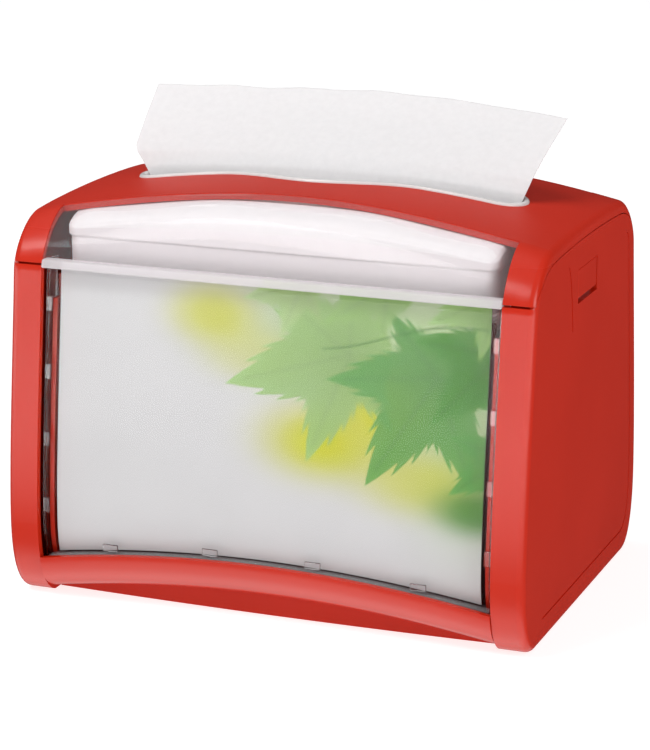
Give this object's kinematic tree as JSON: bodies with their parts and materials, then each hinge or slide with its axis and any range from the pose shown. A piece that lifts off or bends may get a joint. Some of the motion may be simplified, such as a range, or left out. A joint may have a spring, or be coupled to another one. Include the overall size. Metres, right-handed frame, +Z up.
{
  "type": "napkin dispenser",
  "caption": "Two-sided tabletop napkin dispenser with a lift-off hood, clear card holders on both long faces, a wavy top slot and a sprung plate under the napkin stack.",
  "frame": {"origin": "on the table, under the middle of the dispenser", "axes": "+X along the long faces, the front face looks along -Y, +Z up"},
  "size_m": [0.2, 0.147, 0.1786],
  "materials": {
    "red_plastic": "fine moulding grain, semi-matte",
    "dark_plastic": "plain matte moulding",
    "clear_window": "clear moulded plastic, glossy",
    "clear_holder": "clear moulded plastic, glossy",
    "faceplate_white": "smooth off-white moulding",
    "printed_card": null,
    "napkin_paper": "soft embossed tissue",
    "foot_rubber": "matte black rubber",
    "screw_steel": "zinc-plated",
    "spring_steel": "drawn wire"
  },
  "bodies": {
    "housing": {"base_plate": "red_plastic", "rubber_feet": "foot_rubber", "base_screws": "screw_steel", "sill_front": "red_plastic", "sill_rear": "red_plastic", "ad_holder_front": "clear_holder", "ad_holder_rear": "clear_holder", "ad_card_front": "printed_card", "ad_card_rear": "printed_card", "magazine_wall_front": "dark_plastic", "magazine_wall_rear": "dark_plastic", "side_panel_left": "red_plastic", "side_panel_right": "red_plastic", "magazine_wall_left": "red_plastic", "magazine_wall_right": "red_plastic", "spring_seat_left": "dark_plastic", "spring_seat_right": "dark_plastic", "button_pin_left": "spring_steel", "button_pin_right": "spring_steel"},
    "hood": {"hood_shell": "red_plastic", "window_front": "clear_window", "window_rear": "clear_window", "slot_faceplate": "faceplate_white", "faceplate_screws": "screw_steel", "dispensed_napkin": "napkin_paper"},
    "pusher": {"pusher_plate": "dark_plastic", "napkin_stack": "napkin_paper", "pusher_spring_left": "spring_steel", "pusher_spring_right": "spring_steel"},
    "button_right": {"release_button_right": "red_plastic", "button_spring_right": "spring_steel"},
    "button_left": {"release_button_left": "red_plastic", "button_spring_left": "spring_steel"}
  },
  "joints": [
    {"name": "hood_lift", "type": "slide", "parent": "housing", "child": "hood", "axis": [0, 0, 1], "range_m": [0, 0.06]},
    {"name": "pusher_lift", "type": "slide", "parent": "housing", "child": "pusher", "axis": [0, 0, 1], "range_m": [0, 0.062], "deforming": ["napkin_stack", "pusher_spring_left", "pusher_spring_right"]},
    {"name": "button_right_press", "type": "hinge", "parent": "housing", "child": "button_right", "pos_m": [0.0958, -0.001, 0.1272], "axis": [0, 1, 0], "range_deg": [0, 8], "stiffness_Nm_per_rad": 0.02},
    {"name": "button_left_press", "type": "hinge", "parent": "housing", "child": "button_left", "pos_m": [-0.0958, -0.001, 0.1272], "axis": [0, -1, 0], "range_deg": [0, 8], "stiffness_Nm_per_rad": 0.02}
  ]
}
